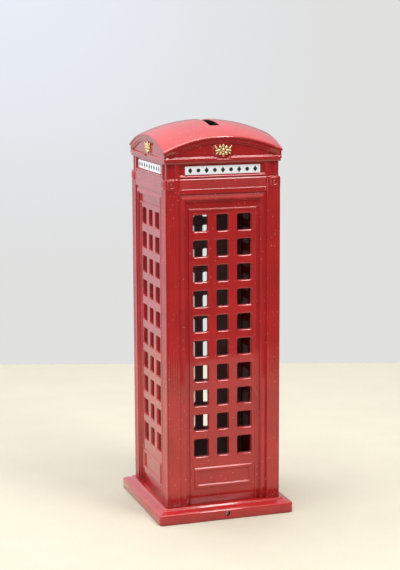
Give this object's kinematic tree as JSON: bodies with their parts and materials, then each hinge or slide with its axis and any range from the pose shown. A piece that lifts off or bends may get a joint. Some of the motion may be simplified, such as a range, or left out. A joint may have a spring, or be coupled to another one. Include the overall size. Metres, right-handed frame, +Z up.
{
  "type": "telephone kiosk coin bank",
  "caption": "Die-cast coin bank shaped as a domed telephone kiosk with pierced window walls, a coin slot in the dome and a hinged coin door in the base, held shut by a grub screw.",
  "frame": {"origin": "middle of the base's underside, where the bank stands", "axes": "+Z up to the dome, -Y out of the front wall, +X to the right seen from the front"},
  "size_m": [0.05, 0.05, 0.14],
  "materials": {
    "red_enamel": "glossy red stoving enamel over a zinc casting, with fine dust specks",
    "sign_white": "white printed vinyl with a row of plain black marks",
    "gilt": "worn gold paint on a fine relief",
    "post_steel": "dark phosphated steel rod",
    "screw_steel": "zinc-plated steel",
    "door_metal": "thin red enamel over a zinc casting, scuffed on its face",
    "pin_steel": "bright drawn steel"
  },
  "bodies": {
    "kiosk": {"base": "red_enamel", "front_panel": "red_enamel", "back_panel": "red_enamel", "left_panel": "red_enamel", "right_panel": "red_enamel", "roof": "red_enamel", "front_sign": "sign_white", "back_sign": "sign_white", "left_sign": "sign_white", "right_sign": "sign_white", "front_emblem": "gilt", "back_emblem": "gilt", "left_emblem": "gilt", "right_emblem": "gilt", "front_left_post": "post_steel", "front_right_post": "post_steel", "back_left_post": "post_steel", "back_right_post": "post_steel", "base_screws": "screw_steel", "hinge_pin": "pin_steel"},
    "coin_door": {"coin_door": "door_metal"},
    "lock_screw": {"lock_screw": "screw_steel"}
  },
  "joints": [
    {"name": "coin_door_hinge", "type": "hinge", "parent": "kiosk", "child": "coin_door", "pos_m": [0, 0.0148, 0.0019], "axis": [1, 0, 0], "range_deg": [0, 100]},
    {"name": "lock_screw_slide", "type": "slide", "parent": "kiosk", "child": "lock_screw", "axis": [0, -1, 0], "range_m": [0, 0.003]}
  ]
}
